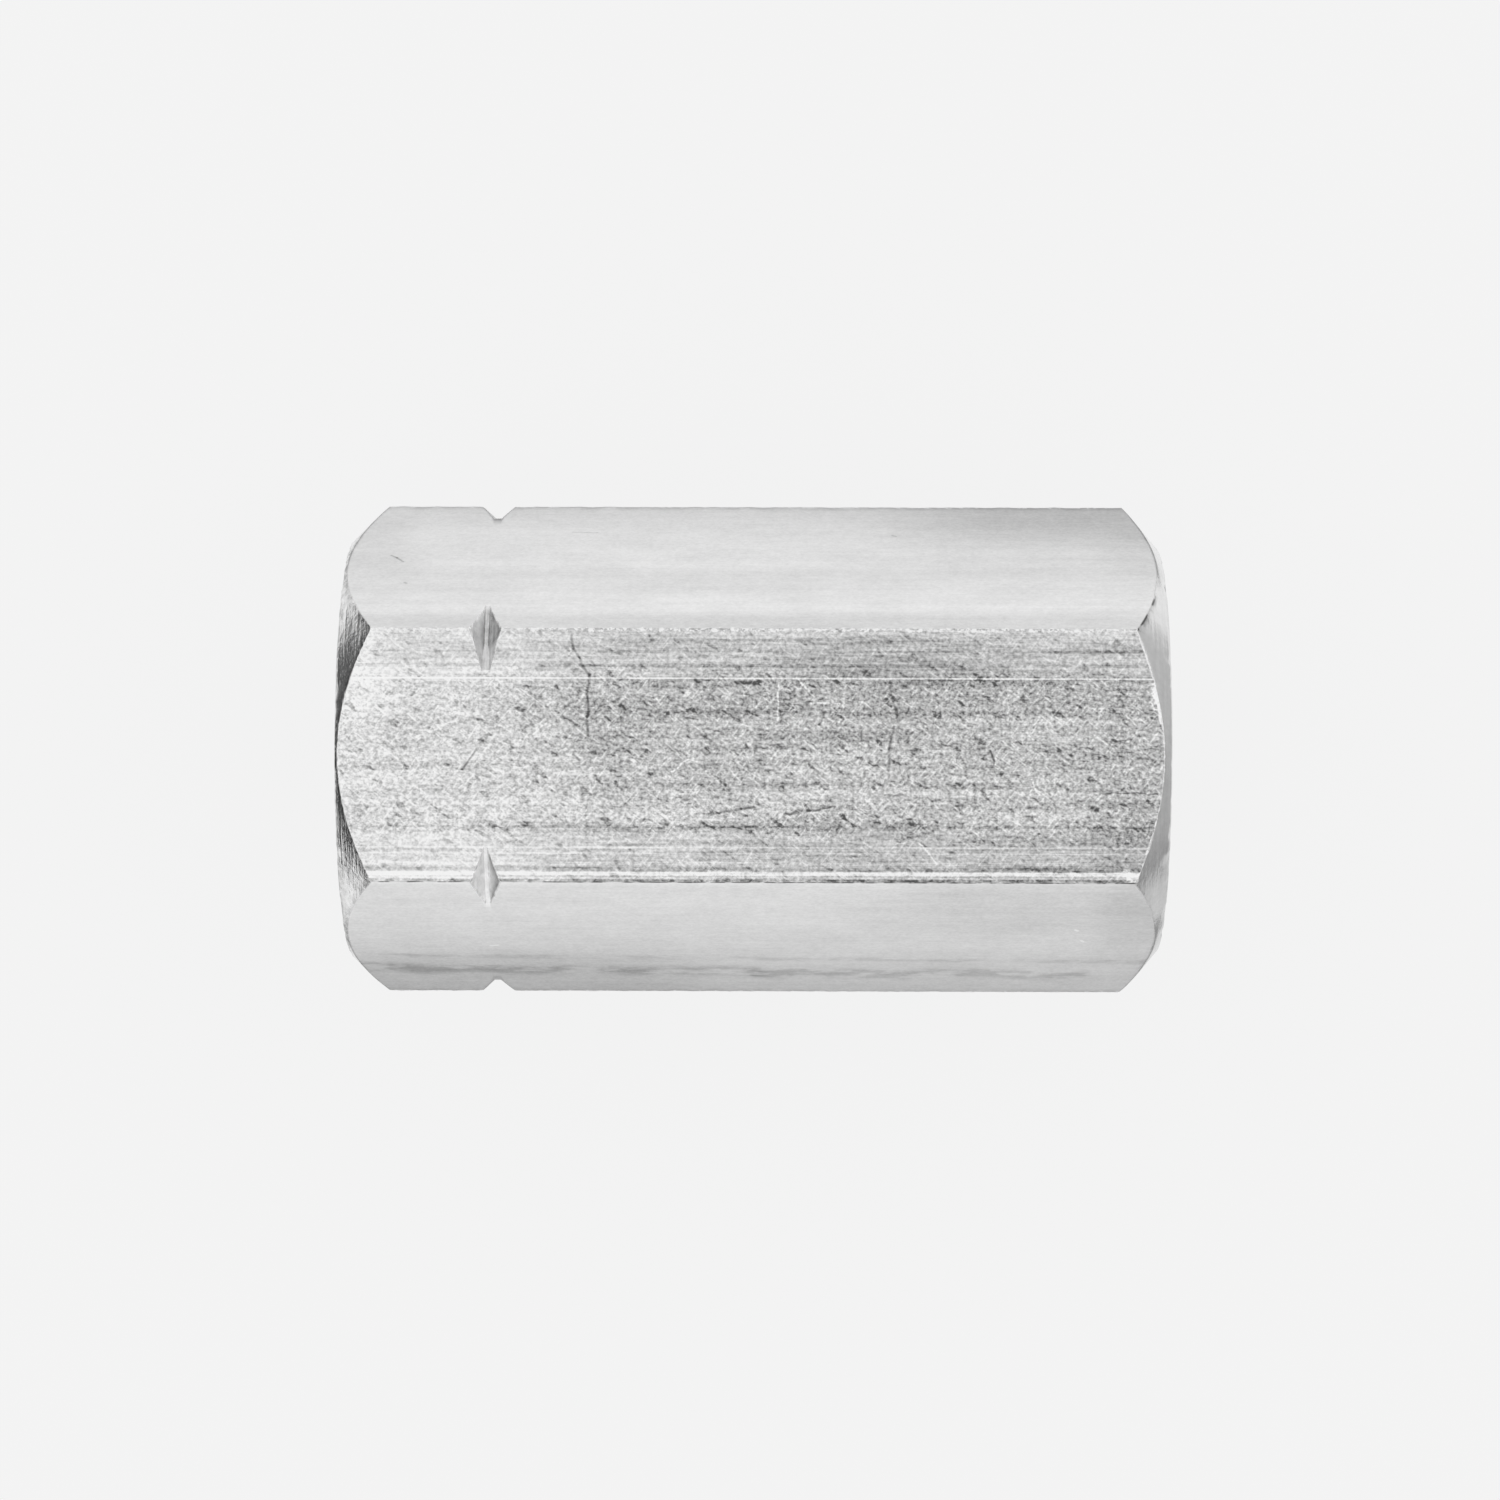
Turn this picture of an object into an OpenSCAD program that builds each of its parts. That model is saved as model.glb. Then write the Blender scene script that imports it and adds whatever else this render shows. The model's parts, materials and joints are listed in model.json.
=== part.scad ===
// Hexagon coupling nut, M12, three thread diameters long.
//
// The nut is cut from drawn hexagon bar. Each end is turned to a cone that cuts the six corners
// back, and the cones leave curved edges where they cross the flats. A V groove is turned around
// one end. It is shallow, so it nicks the corners and never reaches the middle of a flat. The bore
// runs right through at the thread's crest diameter, with a countersink at each mouth.
//
// The nut lies on a flat. The bore's axis is X and the grooved end is at -X. The flats at the top
// and the bottom face +Z and -Z, and two corners point to +Y and -Y. The origin is the middle of
// the bore.

/* [Bar] */
// Width across the flats: 19 mm nominal, less what drawn bar is under size
across_flats = 18.9; // [17:0.1:24]
// Length from end face to end face
nut_length = 36; // [24:0.5:60]

/* [Bore] */
// Diameter of the hole between the thread's crests
bore_d = 10.2; // [6:0.1:12]
// Diameter of each countersink where it meets the end face
countersink_d = 12.8; // [12.2:0.1:15]
// Full angle of each countersink
countersink_angle = 90; // [60:1:120]

/* [End chamfers] */
// How far the cone at the grooved end bites into the flats
grooved_end_bite = 0.15; // [0:0.05:1]
// Slope of that cone, from the end face
grooved_end_angle = 45; // [15:1:60]
// How far the cone at the plain end bites into the flats
plain_end_bite = 0.45; // [0:0.05:1]
// Slope of that cone, from the end face
plain_end_angle = 40; // [15:1:60]

/* [Groove] */
// Distance from the grooved end to the middle of the groove
groove_offset = 6.5; // [4:0.1:12]
// Depth of the groove below the hexagon's corners
groove_depth = 0.65; // [0.2:0.05:1.2]
// Width of the flat at the groove's root
groove_root_w = 0.3; // [0.1:0.05:1]
// Full angle between the groove's two walls
groove_angle = 95; // [60:1:120]

/* [Hidden] */
$fn = 96;
// Cutting tools run this far past the surfaces that they cut
overcut = 1;
half_length = nut_length / 2;
corner_r = across_flats / 2 / cos(30);
// Outer radius of the turned shapes, clear of the corners
clear_r = corner_r + overcut;
groove_root_r = corner_r - groove_depth;

// Length along the axis of a cone that rises by a given radius, for a slope from the end face
function cone_length(rise, angle) = rise * tan(angle);

// Lays a shape that was built along Z down along X, with its low end at -X
module along_bore() {
    rotate([0, 90, 0]) children();
}

// The hexagon bar, cut to length
module hexagon_bar() {
    rotate([0, 0, 30]) cylinder(r = corner_r, h = nut_length, center = true, $fn = 6);
}

// A round bar with both end cones, which is what the lathe leaves of the corners
module turned_envelope() {
    grooved_face_r = across_flats / 2 - grooved_end_bite;
    plain_face_r = across_flats / 2 - plain_end_bite;
    grooved_cone = cone_length(clear_r - grooved_face_r, grooved_end_angle);
    plain_cone = cone_length(clear_r - plain_face_r, plain_end_angle);
    rotate_extrude() polygon([
        [0, -half_length],
        [grooved_face_r, -half_length],
        [clear_r, -half_length + grooved_cone],
        [clear_r, half_length - plain_cone],
        [plain_face_r, half_length],
        [0, half_length]
    ]);
}

// The ring that the grooving tool takes away
module groove_cut() {
    mouth_half_w = groove_root_w / 2 + (clear_r - groove_root_r) * tan(groove_angle / 2);
    translate([0, 0, groove_offset - half_length]) rotate_extrude() polygon([
        [groove_root_r, -groove_root_w / 2],
        [clear_r, -mouth_half_w],
        [clear_r, mouth_half_w],
        [groove_root_r, groove_root_w / 2]
    ]);
}

// The bore and the countersinks at its two mouths
module bore_cut() {
    bore_r = bore_d / 2;
    countersink_depth = (countersink_d / 2 - bore_r) / tan(countersink_angle / 2);
    mouth_r = countersink_d / 2 + overcut * tan(countersink_angle / 2);
    rotate_extrude() polygon([
        [0, -half_length - overcut],
        [mouth_r, -half_length - overcut],
        [bore_r, -half_length + countersink_depth],
        [bore_r, half_length - countersink_depth],
        [mouth_r, half_length + overcut],
        [0, half_length + overcut]
    ]);
}

module coupling_nut() {
    color("silver") along_bore() difference() {
        intersection() {
            hexagon_bar();
            turned_envelope();
        }
        groove_cut();
        bore_cut();
    }
}

coupling_nut();
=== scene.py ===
"""Hexagon coupling nut: the finish of its surfaces, its threads and a plain studio around it.

The nut is one mesh that stands for the CAD solid. Its outside is a grid of rows around the bar's
axis, with rows and columns laid exactly on the creases between the flats, the end cones and the
groove. Its bore is a grid that follows the thread. Lengths are in millimetres until a mesh is made.
"""

import json
import math

import bpy
from mathutils import Matrix, Vector, noise


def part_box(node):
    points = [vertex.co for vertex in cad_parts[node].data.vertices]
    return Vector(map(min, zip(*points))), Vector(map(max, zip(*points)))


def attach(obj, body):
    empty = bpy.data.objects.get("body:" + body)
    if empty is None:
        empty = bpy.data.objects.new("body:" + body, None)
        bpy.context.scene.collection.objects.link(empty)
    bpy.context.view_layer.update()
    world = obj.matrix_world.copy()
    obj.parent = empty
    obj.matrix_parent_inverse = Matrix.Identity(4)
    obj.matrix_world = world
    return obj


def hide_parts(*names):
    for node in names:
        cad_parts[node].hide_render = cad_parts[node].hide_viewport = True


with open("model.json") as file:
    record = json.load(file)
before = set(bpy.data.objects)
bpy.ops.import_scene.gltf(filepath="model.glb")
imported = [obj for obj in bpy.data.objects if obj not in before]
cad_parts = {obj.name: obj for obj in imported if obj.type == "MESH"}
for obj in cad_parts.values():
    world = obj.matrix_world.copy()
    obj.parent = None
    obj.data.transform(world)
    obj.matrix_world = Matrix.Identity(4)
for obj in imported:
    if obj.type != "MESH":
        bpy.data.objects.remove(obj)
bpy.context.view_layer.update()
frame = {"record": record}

MM = 0.001
NODE = "coupling_nut"

# The bar and the bore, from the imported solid
node_low, node_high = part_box(NODE)
HALF_LENGTH = node_high[0] / MM
APOTHEM = node_high[2] / MM
SLANT = math.radians(30)
CORNER_R = APOTHEM / math.cos(SLANT)
HALF_FLAT = APOTHEM * math.tan(SLANT)
BORE_R = next(m["dims"]["r_mm"] for m in frame["record"]["mounts"] if m["name"] == "thread_bore")
BORE_WALL = next(m["dims"]["length_mm"] for m in frame["record"]["mounts"] if m["name"] == "thread_bore")

# End cones: radius of the end face, and how fast the radius grows with the distance from it
GROOVED_FACE_R = APOTHEM - 0.15
GROOVED_SLOPE = 1 / math.tan(math.radians(45))
PLAIN_FACE_R = APOTHEM - 0.45
PLAIN_SLOPE = 1 / math.tan(math.radians(40))

# Groove around the -X end. It is tighter on the upper side, and bites deeper at the upper corners:
# the middle and the half width of each such place are in degrees round the bar
GROOVE_X = 6.5 - HALF_LENGTH
GROOVE_ROOT_R = CORNER_R - 0.55
GROOVE_ROOT_HALF = 0.15
GROOVE_SPREAD = math.tan(math.radians(95 / 2))
GROOVE_DIPS = ((30, 30, 0.32), (-40, 28, 0.37))
GROOVE_REACH = 1.5
# Its finish, as change of tone and dullness: on the lower side of the bar, and on the upper side
GROOVE_ROOT_FINISH = ((0.08, 0.35), (-0.24, 0.05))
GROOVE_LEFT_FINISH = ((0.16, 1.00), (0.02, 0.65))
# Tone of the right wall near its root and at its mouth, and its dullness: the darkening towards the mouth is
# painted shade
GROOVE_RIGHT_PAINTED_SHADE = (-0.05, -0.46)
GROOVE_RIGHT_DULL = 0.20

# Countersinks are 90 degree cones, so their depth equals their width
COUNTERSINK_DEPTH = HALF_LENGTH - BORE_WALL / 2
COUNTERSINK_R = BORE_R + COUNTERSINK_DEPTH

# Thread
PITCH = 1.75
THREAD_ROOT_R = 6.0
# Share of the pitch, from the middle of a crest out, that is crest, and then that is one flank
CREST_SHARE = 0.25
FLANK_SHARE = 0.625
# The plain middle reaches this far each way, and the thread then deepens over the run-out
THREAD_GAP = 1.6
THREAD_RUNOUT = 1.2
THREAD_COLUMNS = 84
THREAD_ROWS_PER_TURN = 12

# Soft edges. The corners' fillets are nicked, and the creases of the two ends differ a little
EDGE_FILLETS = (0.10, 0.10, 0.10, 0.10, 0.10, 0.07)
EDGE_STEPS = 5
EDGE_NICK = 0.035
EDGE_BAND = 0.10
NIB_SHARE = 0.12
GROOVED_SOFTNESS = 0.08
PLAIN_SOFTNESS = 0.12
GROOVE_SOFTNESS = 0.06
CREASE_REACH = 0.11
RIM_BEVEL = 0.04
RIM_CHIP = 0.08
CHIP_REACH = 0.2
RIM_BAND = 0.12
FACE_RINGS = 2
# Darkening at the rims of the two end faces: painted shade
GROOVED_RIM_PAINTED_SHADE = -0.50
PLAIN_RIM_PAINTED_SHADE = -0.10
SHARP_ANGLE = 40
FLAT_COLUMNS = 32
LONG_ROWS = 130

# The edge strip that the die rolled down along one side of the upper flat
ROLLED_FROM = -5.0
ROLLED_SLOPE = math.tan(math.radians(7))

# Lines that the drawing die left along the bar:
# flat, place across it, half width, depth, change of tone, and whether the line is broken up.
# The one on flat 5 lies just past its edge, so it marks the fillet beside flat 0
# A line that is brightened but has no depth is a painted highlight, standing in for the glint of a ridge
DIE_LINES = (
    (0, 4.48, 0.06, 0.006, -0.16, True),
    (0, 3.88, 0.09, 0.008, -0.18, True),
    (0, 3.33, 0.045, 0.000, 0.42, False),
    (0, 3.19, 0.06, 0.010, 0.02, True),
    (0, -3.04, 0.07, 0.008, -0.18, True),
    (0, -3.93, 0.05, 0.000, 0.16, False),
    (0, -4.19, 0.04, 0.000, 0.12, False),
    (0, -4.63, 0.09, 0.000, 0.12, False),
    (0, -4.85, 0.09, 0.010, -0.11, False),
    (0, -5.06, 0.10, 0.000, 0.40, False),
    (0, -5.22, 0.04, 0.000, 0.16, False),
    (0, -5.37, 0.09, 0.020, -0.30, True),
    (5, 5.50, 0.035, 0.000, -0.62, True),
    (1, -4.97, 0.75, 0.004, -0.07, False),
    (1, -3.75, 0.40, 0.000, 0.03, False),
)

# Darker and brighter places on the flats, partly stains and partly painted shade and painted light:
# flat, change of tone, the middle and the half width along the bar, and the same across the flat
STAINS_AND_PAINTED_SHADE = (
    (0, 0.16, -18.0, 3.2, 3.5, 3.5),
    (0, 0.05, -18.0, 3.2, -0.5, 3.0),
    (0, -0.10, -12.0, 10.0, 0.75, 1.1),
    (0, 0.10, -6.5, 5.5, -1.2, 1.2),
    (0, 0.09, -5.5, 5.0, -3.4, 1.4),
    (0, -0.08, 7.0, 16.0, 2.4, 1.4),
    (0, 0.07, 10.0, 7.0, 0.8, 1.2),
    (0, 0.07, 7.0, 10.0, -2.3, 0.9),
    (0, -0.06, 10.0, 9.0, -3.3, 0.6),
    (0, 0.09, 14.0, 9.0, 4.8, 1.1),
    (0, -0.10, 18.0, 5.0, -3.2, 2.6),
    (1, -0.08, -18.0, 4.0, 2.0, 3.5),
    (1, 0.08, -8.0, 22.0, 3.5, 5.0),
    (1, -0.15, 17.0, 14.0, 5.5, 4.2),
    (1, 0.05, 8.0, 30.0, -2.9, 1.1),
    (1, -0.05, 18.0, 3.5, 1.5, 3.0),
    (5, -0.12, -13.0, 15.0, -4.2, 4.0),
    (5, -0.10, 14.0, 11.0, 4.5, 5.0),
    (5, -0.09, 18.0, 4.0, 2.0, 6.0),
)


def clamp(value, low, high):
    return max(low, min(high, value))


def smooth_step(low, high, value):
    t = clamp((value - low) / (high - low), 0.0, 1.0)
    return t * t * (3 - 2 * t)


def smooth_min(a, b, softness):
    """The smaller of a and b, rounded over where they meet."""
    h = max(softness - abs(a - b), 0.0) / softness
    return min(a, b) - h * h * softness / 4


def line_share(u, place, half):
    """1 over the middle of a die line, 0 past its edges, straight between them."""
    return clamp((half - abs(u - place)) / (0.4 * half), 0.0, 1.0)


def die_lines(flat, u):
    """Depth, change of tone, and change of tone of the broken lines at one place across a flat."""
    depth = tone = broken_tone = 0.0
    for line_flat, place, half, line_depth, line_tone, broken in DIE_LINES:
        if line_flat == flat:
            share = line_share(u, place, half)
            depth += share * line_depth
            if broken:
                broken_tone += share * line_tone
            else:
                tone += share * line_tone
    if flat == 0:
        depth += max(ROLLED_FROM - u, 0.0) * ROLLED_SLOPE
    return depth, tone, broken_tone


def swell(value, middle, half):
    """1 about the middle, 0 from half away on."""
    return smooth_step(half, 0.4 * half, abs(value - middle))


def stain_and_painted_shade(flat, x, u):
    """Change of tone of the stains and of the painted shade and light at one point of a flat."""
    tone = 0.0
    for toned_flat, change, x_middle, x_half, u_middle, u_half in STAINS_AND_PAINTED_SHADE:
        if toned_flat == flat:
            tone += change * swell(x, x_middle, x_half) * swell(u, u_middle, u_half)
    return tone


class Column:
    """One line of points along the bar. Angle 0 is +Z and grows to +Y; u is the place across the flat."""

    def __init__(self, flat, u, across, out, corner=0.0):
        self.flat = flat
        self.u = u
        self.angle = math.radians(60) * flat + math.atan2(across, out)
        self.bar_r = math.hypot(across, out)
        self.corner = corner
        self.corner_wear_and_highlight = CORNER_WEAR_AND_HIGHLIGHT[(flat - 1) % 6 if u < 0 else flat]
        self.tone, self.broken_tone = die_lines(flat, u)[1:]


def flat_reach(corner):
    """How far a flat reaches to the fillet of that corner. Corner 0 is between flats 0 and 1."""
    return HALF_FLAT - EDGE_FILLETS[corner] * math.tan(SLANT)


def places_across(flat):
    """Places of the columns across one flat: an even spacing, and the edges of the die lines."""
    low, high = -flat_reach(flat - 1), flat_reach(flat)
    places = [low + (high - low) * i / FLAT_COLUMNS for i in range(1, FLAT_COLUMNS)]
    for line_flat, place, half in (line[:3] for line in DIE_LINES):
        if line_flat == flat:
            edges = [place + half * share for share in (-1.0, -0.6, 0.6, 1.0)]
            places = [u for u in places if not edges[0] - 0.03 < u < edges[-1] + 0.03]
            places += edges
    places = [u for u in places if low + 1.2 * EDGE_BAND < u < high - 1.2 * EDGE_BAND]
    return [low, low + EDGE_BAND] + sorted(places) + [high - EDGE_BAND, high]


def bar_columns():
    """The columns once around the bar, from the edge before +Z: six flats and six fillets."""
    columns = []
    for flat in range(6):
        places = places_across(flat)
        for u in places:
            corner = 0.7 if u in (places[0], places[-1]) else 0.0
            if u in (places[1], places[-2]):
                corner = NIB_SHARE
            columns.append(Column(flat, u, u, APOTHEM - die_lines(flat, u)[0], corner))
        fillet = EDGE_FILLETS[flat]
        centre = (APOTHEM - fillet) / math.cos(SLANT)
        end_depth = die_lines(flat, places[-1])[0]
        start_depth = die_lines((flat + 1) % 6, -flat_reach(flat))[0]
        for i in range(1, EDGE_STEPS):
            share = i / EDGE_STEPS
            turn = 2 * SLANT * share
            across = centre * math.sin(SLANT) + fillet * math.sin(turn)
            out = centre * math.cos(SLANT) + fillet * math.cos(turn)
            out -= end_depth * (1 - share) + start_depth * share * math.cos(2 * SLANT)
            across -= start_depth * share * math.sin(2 * SLANT)
            columns.append(Column(flat, HALF_FLAT * (1 + 0.01 * share), across, out, 1.0))
    return columns


def spread(start, end, count):
    """count values from start towards end, without end."""
    return [start + (end - start) * i / count for i in range(count)]


def groove_root(angle):
    """Radius of the groove's root at that angle round the bar."""
    root = GROOVE_ROOT_R
    for middle, half, depth in GROOVE_DIPS:
        away = (math.degrees(angle) - middle + 180) % 360 - 180
        share = max(1 - (away / half) ** 2, 0.0)
        root -= depth * share * share
    return root


def groove_shape(angle):
    """Half width of the groove's root, and how fast its walls spread."""
    near = max(math.cos(angle), 0.0) ** 2
    torn = smooth_step(10, 20, math.degrees(angle)) - smooth_step(24, 29, math.degrees(angle))
    return GROOVE_ROOT_HALF - 0.10 * near + 0.09 * torn, GROOVE_SPREAD - 0.50 * near


def column_stations(angle, bar_r):
    """Places along the bar for one column: the rows lie on its creases."""
    low, high = -HALF_LENGTH + RIM_BEVEL, HALF_LENGTH - RIM_BEVEL
    grooved = -HALF_LENGTH + (bar_r - GROOVED_FACE_R) / GROOVED_SLOPE
    plain = HALF_LENGTH - (bar_r - PLAIN_FACE_R) / PLAIN_SLOPE
    root_half, groove_spread = groove_shape(angle)
    wall = max((bar_r - groove_root(angle)) * groove_spread, 0.03)
    mouth = root_half + wall
    soft = CREASE_REACH
    inner = min(soft, 0.45 * wall)
    rim_soft = min(soft, 0.4 * (grooved - low))
    band = min(-HALF_LENGTH + RIM_BAND, (low + grooved - rim_soft) / 2)
    return (
        [-HALF_LENGTH, low]
        + spread(band, grooved - rim_soft, 5)
        + spread(grooved - rim_soft, grooved + soft, 4)
        + spread(grooved + soft, GROOVE_X - mouth - soft, 20)
        + spread(GROOVE_X - mouth - soft, GROOVE_X - mouth + inner, 5)
        + spread(GROOVE_X - mouth + inner, GROOVE_X - root_half, 3)
        + spread(GROOVE_X - root_half, GROOVE_X + root_half, 3)
        + spread(GROOVE_X + root_half, GROOVE_X + mouth - inner, 3)
        + spread(GROOVE_X + mouth - inner, GROOVE_X + mouth + soft, 5)
        + spread(GROOVE_X + mouth + soft, plain - soft, LONG_ROWS)
        + spread(plain - soft, plain + soft, 4)
        + spread(plain + soft, HALF_LENGTH - RIM_BAND, 5)
        + [HALF_LENGTH - RIM_BAND, high, HALF_LENGTH]
    )


def outer_radius(x, angle, bar_r):
    """Radius of the outside at x, where the bar alone would have bar_r, and how near a crease that is."""
    grooved_cone = GROOVED_FACE_R + GROOVED_SLOPE * (x + HALF_LENGTH)
    plain_cone = PLAIN_FACE_R + PLAIN_SLOPE * (HALF_LENGTH - x)
    root_half, groove_spread = groove_shape(angle)
    groove = groove_root(angle) + max(abs(x - GROOVE_X) - root_half, 0.0) / groove_spread
    ragged = 0.75 + 0.9 * noise.noise(Vector((x, 9 * angle, 3.0)))
    radius = bar_r
    crease = 0.0
    for cut, softness in ((grooved_cone, GROOVED_SOFTNESS), (plain_cone, PLAIN_SOFTNESS)):
        softness *= ragged
        rounded = smooth_min(radius, cut, softness)
        crease = max(crease, 4 * (min(radius, cut) - rounded) / softness)
        radius = rounded
    radius = smooth_min(radius, groove, GROOVE_SOFTNESS)
    if HALF_LENGTH - abs(x) < RIM_BEVEL / 4:
        radius -= RIM_BEVEL
    return radius, crease


def chipped(x, angle):
    """x, moved in from the end face where the rim is chipped."""
    near = max(1 - (HALF_LENGTH - abs(x)) / CHIP_REACH, 0.0)
    end = math.copysign(HALF_LENGTH, x)
    chip = clamp(noise.noise(Vector((11 * math.sin(angle), 11 * math.cos(angle), end))) - 0.05, 0.0, 0.5)
    return x - math.copysign(2 * RIM_CHIP * chip * near, x)


def nick(x, column):
    """How far a corner's fillet is worn back at x."""
    wear = 0.5 + noise.noise(Vector((1.3 * x, 5.0 * column.flat, 0.0)))
    wear += 0.5 * noise.noise(Vector((4.1 * x, 7.0 * column.flat, 9.0)))
    return EDGE_NICK * column.corner * clamp(wear, 0.0, 1.0)


def mixed(low, high, share):
    return tuple(a + (b - a) * share for a, b in zip(low, high))


def wall_finish_and_shade(x, column):
    """Change of tone and dullness in the groove; the darkening of the right wall towards its mouth is painted
    shade. Where it is shallow on the upper flat it is torn dull.
    """
    angle = (math.degrees(column.angle) + 180) % 360 - 180
    upper = smooth_step(-10, 10, angle)
    root_half, groove_spread = groove_shape(column.angle)
    climb = abs(x - GROOVE_X) - root_half
    share = smooth_step(0.0, 0.08, climb)
    finish = mixed(*GROOVE_LEFT_FINISH, upper)
    if x > GROOVE_X:
        wall = max((column.bar_r - groove_root(column.angle)) * groove_spread, 0.03)
        # Painted shade: the right wall darkens towards its mouth
        near_root, at_mouth = GROOVE_RIGHT_PAINTED_SHADE
        tone = near_root + (at_mouth - near_root) * smooth_step(0.15, 0.85, climb / wall)
        finish = (tone, GROOVE_RIGHT_DULL)
    finish = mixed(mixed(*GROOVE_ROOT_FINISH, upper), finish, share)
    torn = smooth_step(HALF_FLAT - 0.35, HALF_FLAT - 0.75, column.u) if column.flat == 0 else 0.0
    return mixed(finish, (-0.05, 1.0), torn * upper)


def cone_tone_and_shade(x, column, depth):
    """Change of tone on an end cone: all over it, painted light and shade on the upper and lower sides of the
    plain cone, and painted shade in ragged patches along its crease.
    """
    angle = (math.degrees(column.angle) + 180) % 360 - 180
    if x < 0:
        # Painted shade along the crease
        return 0.08, -0.26 * (1 - smooth_step(0.05, 0.35, depth))
    # Painted light on the upper side, painted shade on the lower side
    tone = 0.05 * smooth_step(25, 45, angle) - 0.22 * smooth_step(16, 30, -angle)
    # Painted shade in ragged patches along the crease
    shaded_crease = smooth_step(29.5, 30.5, angle) * (1 - smooth_step(42, 48, angle))
    return tone, -0.80 * shaded_crease * (1 - smooth_step(0.05, 0.20, depth))


def rim_painted_shade(x):
    """Change of tone at the sharp rims of the two end faces: painted shade, strongest at the grooved end."""
    share = clamp(1 - (HALF_LENGTH - abs(x)) / RIM_BAND, 0.0, 1.0)
    return share * (GROOVED_RIM_PAINTED_SHADE if x < 0 else PLAIN_RIM_PAINTED_SHADE)


def thread_radius(x, angle, hand):
    """Radius of the bore's wall: crests at BORE_R, roots at THREAD_ROOT_R, plain in the middle."""
    phase = (x / PITCH - hand * angle / math.tau) % 1.0
    away = abs(phase - 0.5) * 2
    depth = clamp((away - CREST_SHARE) / FLANK_SHARE, 0.0, 1.0)
    depth *= smooth_step(THREAD_GAP, THREAD_GAP + THREAD_RUNOUT, abs(x))
    cone = COUNTERSINK_R - (HALF_LENGTH - abs(x))
    return max(BORE_R + (THREAD_ROOT_R - BORE_R) * depth, cone)


def point(x, angle, radius):
    return (x, radius * math.sin(angle), radius * math.cos(angle))


class MeshParts:
    """Vertices, faces, materials and surface coordinates on their way to one mesh."""

    def __init__(self):
        self.points = []
        # Per point: two tone marks, which carry marks on the steel and also painted shade at the creases,
        # rims, groove wall and cones; the bright edge; and dullness
        self.marks = {"tone_marks_and_shade": [], "broken_marks_and_shade": [], "edge": [], "dull": []}
        self.faces = []
        self.slots = []
        self.wear = []
        self.uvs = []

    def add_point(self, x, angle, radius, tone_marks_and_shade=0.0, broken_marks_and_shade=0.0, edge=0.0, dull=0.0):
        self.points.append(point(x, angle, radius))
        self.marks["tone_marks_and_shade"].append(tone_marks_and_shade)
        self.marks["broken_marks_and_shade"].append(broken_marks_and_shade)
        self.marks["edge"].append(edge)
        self.marks["dull"].append(dull)
        return len(self.points) - 1

    def add_face(self, corners, slot, uvs, wear=0.0):
        self.faces.append(corners)
        self.slots.append(slot)
        self.uvs.append(uvs)
        self.wear.append(wear)


DRAWN, RUBBED, TURNED, THREADED = range(4)

# A face belongs to a cone or to the groove where it lies this far below the bar
CUT_DEPTH = 0.012

SIDE_FLAT = 5

# Surface coordinates: millimetres along the bar, and across it. Each flat has its own stretch
FLAT_UV = 20.0
TURNED_UV = 10.0

# The finish of the flats
STEEL_TONE = 0.84
NEAR_TONE = 0.555
FRESH_GAIN = 0.22
TURNED_TONE = 0.78
EDGE_TONE = 0.95
DARKEST = 0.10
DRAWN_ROUGHNESS = 0.28
RUBBED_ROUGHNESS = 0.30
TURNED_ROUGHNESS = 0.16
THREAD_TONE = 0.70
THREAD_ROUGHNESS = 0.34
DULL_ROUGHNESS = 0.60
FLAT_WEAR = (1.0, 0.0, 0.3, 0.6, 0.3, 0.0)
# Brightening along the creases with the cones: partly rubbed wear, partly painted highlight
CREASE_WEAR_AND_HIGHLIGHT = (1.0, 0.0, 0.5, 0.5, 0.5, 0.0)
# Darkening along the creases between the side flats and the cones: painted shade
CREASE_PAINTED_SHADE = (0.0, -0.10, 0.0, 0.0, 0.0, -0.10)
# Brightening of the corners: partly rubbed wear, partly painted highlight
CORNER_WEAR_AND_HIGHLIGHT = (0.85, 0.8, 0.8, 0.8, 0.8, 0.10)


def add_column(parts, column):
    """Adds one column's points. Returns their indices with their places along the bar."""
    made = []
    for x in column_stations(column.angle, column.bar_r):
        radius, crease = outer_radius(x, column.angle, column.bar_r - nick(x, column))
        # The edge mark brightens creases and corners, partly wear and partly painted highlight; the crease
        # and rim darkening is painted shade
        edge = crease * CREASE_WEAR_AND_HIGHLIGHT[column.flat]
        broken = crease * CREASE_PAINTED_SHADE[column.flat] + rim_painted_shade(x)
        tone_marks_and_shade = dull = 0.0
        depth = column.bar_r - radius
        if depth < EDGE_NICK + CUT_DEPTH:
            edge = max(edge, column.corner_wear_and_highlight * min(1.5 * column.corner, 1.0))
            tone_marks_and_shade = column.tone + stain_and_painted_shade(column.flat, x, column.u)
            broken += column.broken_tone
        elif abs(x - GROOVE_X) < GROOVE_REACH:
            tone_marks_and_shade, dull = wall_finish_and_shade(x, column)
        else:
            tone_marks_and_shade, crease_tone = cone_tone_and_shade(x, column, depth)
            broken += crease_tone
        index = parts.add_point(chipped(x, column.angle), column.angle, radius, tone_marks_and_shade, broken, edge, dull)
        made.append((index, x))
    return made


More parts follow.
